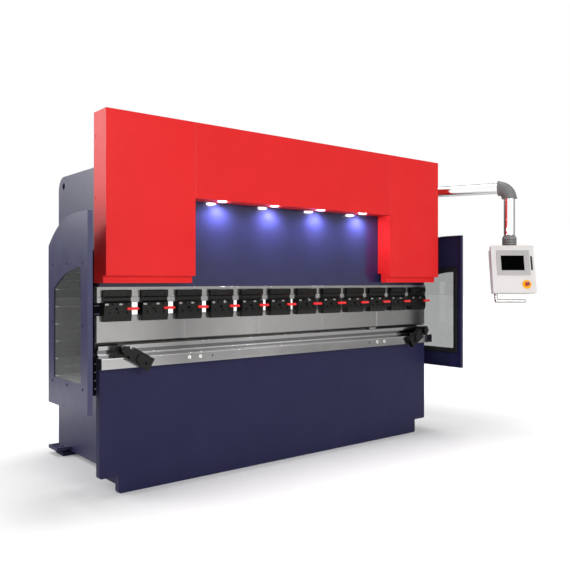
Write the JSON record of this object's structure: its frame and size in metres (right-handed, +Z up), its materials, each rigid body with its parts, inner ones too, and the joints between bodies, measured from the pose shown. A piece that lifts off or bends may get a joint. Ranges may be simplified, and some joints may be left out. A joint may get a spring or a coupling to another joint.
{
  "type": "press brake",
  "caption": "Hydraulic press brake: a guided ram with clamped punches closes on a V die, with sheet covers, side guards, a back gauge and a control pendant on an arm",
  "frame": {"origin": "On the floor under the middle of the bend line, halfway through the bed plate", "axes": "X along the machine with the pendant at +X, Y to the rear, Z up"},
  "size_m": [3.1727, 1.7802, 1.933],
  "materials": {
    "navy_paint": "satin",
    "red_paint": "gloss",
    "bare_steel": "ground",
    "black_steel": "blackened",
    "grey_cast": "satin",
    "white_paint": "satin",
    "bright_bolt": "bright",
    "pane_glass": "tinted",
    "lamp_glass": "lit",
    "vent_black": "satin",
    "bezel_grey": "matte",
    "screen_black": "gloss",
    "stop_yellow": "gloss",
    "stop_red": "gloss"
  },
  "bodies": {
    "machine_frame": {"side_frame_left": "navy_paint", "side_frame_right": "navy_paint", "bed_plate": "navy_paint", "front_bar": "bare_steel", "front_bar_bolts": "bright_bolt", "die_block": "bare_steel", "floor_pads": "grey_cast", "cover_left": "red_paint", "cover_right": "red_paint", "cover_center": "red_paint", "panel_screws": "grey_cast", "lamps": "lamp_glass", "guard_left": "navy_paint", "guard_right": "navy_paint", "guard_panes": "pane_glass", "vent_panels": "vent_black", "cylinders": "grey_cast", "oil_tank": "navy_paint", "pump_motor": "grey_cast", "tie_beam": "navy_paint", "ram_guides": "grey_cast", "gauge_frame": "navy_paint", "gauge_motor": "black_steel", "pendant_bracket": "grey_cast"},
    "ram": {"ram_plate": "navy_paint", "tool_bar": "bare_steel", "tool_clamps": "black_steel", "clamp_bolts": "bright_bolt", "punches": "bare_steel", "piston_rods": "bare_steel"},
    "clamp_lever_1": {"clamp_lever_1": "red_paint"},
    "clamp_lever_2": {"clamp_lever_2": "red_paint"},
    "clamp_lever_3": {"clamp_lever_3": "red_paint"},
    "clamp_lever_4": {"clamp_lever_4": "red_paint"},
    "clamp_lever_5": {"clamp_lever_5": "red_paint"},
    "clamp_lever_6": {"clamp_lever_6": "red_paint"},
    "clamp_lever_7": {"clamp_lever_7": "red_paint"},
    "clamp_lever_8": {"clamp_lever_8": "red_paint"},
    "clamp_lever_9": {"clamp_lever_9": "red_paint"},
    "clamp_lever_10": {"clamp_lever_10": "red_paint"},
    "clamp_lever_11": {"clamp_lever_11": "red_paint"},
    "clamp_lever_12": {"clamp_lever_12": "red_paint"},
    "gauge_beam": {"gauge_beam": "bare_steel"},
    "gauge_screw": {"gauge_screw": "bare_steel"},
    "gauge_finger_left": {"gauge_finger_left": "bare_steel"},
    "gauge_finger_right": {"gauge_finger_right": "bare_steel"},
    "carriage_left": {"carriage_left": "black_steel"},
    "carriage_right": {"carriage_right": "black_steel"},
    "support_arm_left": {"support_arm_left": "black_steel"},
    "support_arm_right": {"support_arm_right": "black_steel"},
    "pendant_arm": {"arm_tube": "white_paint", "arm_elbow": "grey_cast", "drop_tube": "white_paint"},
    "pendant": {"pendant_neck": "grey_cast", "pendant_housing": "white_paint", "pendant_bezel": "bezel_grey", "pendant_screen": "screen_black", "stop_base": "stop_yellow", "pendant_grip": "white_paint"},
    "stop_button": {"stop_button": "stop_red"}
  },
  "joints": [
    {"name": "ram_slide", "type": "slide", "parent": "machine_frame", "child": "ram", "axis": [0, 0, 1], "range_m": [-0.01, 0.088]},
    {"name": "clamp_lever_1_turn", "type": "hinge", "parent": "ram", "child": "clamp_lever_1", "pos_m": [-1.1085, -0.045, 0.945], "axis": [0, 1, 0], "range_deg": [0, 90]},
    {"name": "clamp_lever_2_turn", "type": "hinge", "parent": "ram", "child": "clamp_lever_2", "pos_m": [-0.8975, -0.045, 0.945], "axis": [0, 1, 0], "range_deg": [0, 90]},
    {"name": "clamp_lever_3_turn", "type": "hinge", "parent": "ram", "child": "clamp_lever_3", "pos_m": [-0.6865, -0.045, 0.945], "axis": [0, 1, 0], "range_deg": [0, 90]},
    {"name": "clamp_lever_4_turn", "type": "hinge", "parent": "ram", "child": "clamp_lever_4", "pos_m": [-0.4755, -0.045, 0.945], "axis": [0, 1, 0], "range_deg": [0, 90]},
    {"name": "clamp_lever_5_turn", "type": "hinge", "parent": "ram", "child": "clamp_lever_5", "pos_m": [-0.2645, -0.045, 0.945], "axis": [0, 1, 0], "range_deg": [0, 90]},
    {"name": "clamp_lever_6_turn", "type": "hinge", "parent": "ram", "child": "clamp_lever_6", "pos_m": [-0.0535, -0.045, 0.945], "axis": [0, 1, 0], "range_deg": [0, 90]},
    {"name": "clamp_lever_7_turn", "type": "hinge", "parent": "ram", "child": "clamp_lever_7", "pos_m": [0.1575, -0.045, 0.945], "axis": [0, 1, 0], "range_deg": [0, 90]},
    {"name": "clamp_lever_8_turn", "type": "hinge", "parent": "ram", "child": "clamp_lever_8", "pos_m": [0.3685, -0.045, 0.945], "axis": [0, 1, 0], "range_deg": [0, 90]},
    {"name": "clamp_lever_9_turn", "type": "hinge", "parent": "ram", "child": "clamp_lever_9", "pos_m": [0.5795, -0.045, 0.945], "axis": [0, 1, 0], "range_deg": [0, 90]},
    {"name": "clamp_lever_10_turn", "type": "hinge", "parent": "ram", "child": "clamp_lever_10", "pos_m": [0.7905, -0.045, 0.945], "axis": [0, 1, 0], "range_deg": [0, 90]},
    {"name": "clamp_lever_11_turn", "type": "hinge", "parent": "ram", "child": "clamp_lever_11", "pos_m": [1.0015, -0.045, 0.945], "axis": [0, 1, 0], "range_deg": [0, 90]},
    {"name": "clamp_lever_12_turn", "type": "hinge", "parent": "ram", "child": "clamp_lever_12", "pos_m": [1.2125, -0.045, 0.945], "axis": [0, 1, 0], "range_deg": [0, 90]},
    {"name": "gauge_slide", "type": "slide", "parent": "machine_frame", "child": "gauge_beam", "axis": [0, 1, 0], "range_m": [-0.1, 0.2]},
    {"name": "gauge_screw_turn", "type": "hinge", "parent": "machine_frame", "child": "gauge_screw", "pos_m": [0, 0.3, 0.66], "axis": [0, 1, 0], "range_deg": [-3610, 7210]},
    {"name": "gauge_finger_left_slide", "type": "slide", "parent": "gauge_beam", "child": "gauge_finger_left", "axis": [1, 0, 0], "range_m": [-0.25, 0.25]},
    {"name": "gauge_finger_right_slide", "type": "slide", "parent": "gauge_beam", "child": "gauge_finger_right", "axis": [1, 0, 0], "range_m": [-0.25, 0.25]},
    {"name": "carriage_left_slide", "type": "slide", "parent": "machine_frame", "child": "carriage_left", "axis": [1, 0, 0], "range_m": [-0.05, 0.9]},
    {"name": "carriage_right_slide", "type": "slide", "parent": "machine_frame", "child": "carriage_right", "axis": [1, 0, 0], "range_m": [-0.9, 0.05]},
    {"name": "support_arm_left_turn", "type": "hinge", "parent": "carriage_left", "child": "support_arm_left", "pos_m": [-1.15, -0.096, 0.738], "axis": [0, 1, 0], "range_deg": [-30, 60]},
    {"name": "support_arm_right_turn", "type": "hinge", "parent": "carriage_right", "child": "support_arm_right", "pos_m": [1.15, -0.096, 0.738], "axis": [0, 1, 0], "range_deg": [-60, 30]},
    {"name": "pendant_arm_swing", "type": "hinge", "parent": "machine_frame", "child": "pendant_arm", "pos_m": [1.15, 0.62, 1.75], "axis": [0, 0, 1], "range_deg": [-5, 75]},
    {"name": "pendant_swivel", "type": "hinge", "parent": "pendant_arm", "child": "pendant", "pos_m": [1.63038, -0.47747, 1.41], "axis": [0, 0, 1], "range_deg": [-90, 90]},
    {"name": "stop_button_press", "type": "slide", "parent": "pendant", "child": "stop_button", "axis": [0.6131, 0.7598, -0.2164], "range_m": [0, 0.004], "stiffness_N_per_m": 1500}
  ],
  "couplings": [
    {"joint": "gauge_screw_turn", "follows": "gauge_slide", "rad_per_m": 628.32}
  ]
}
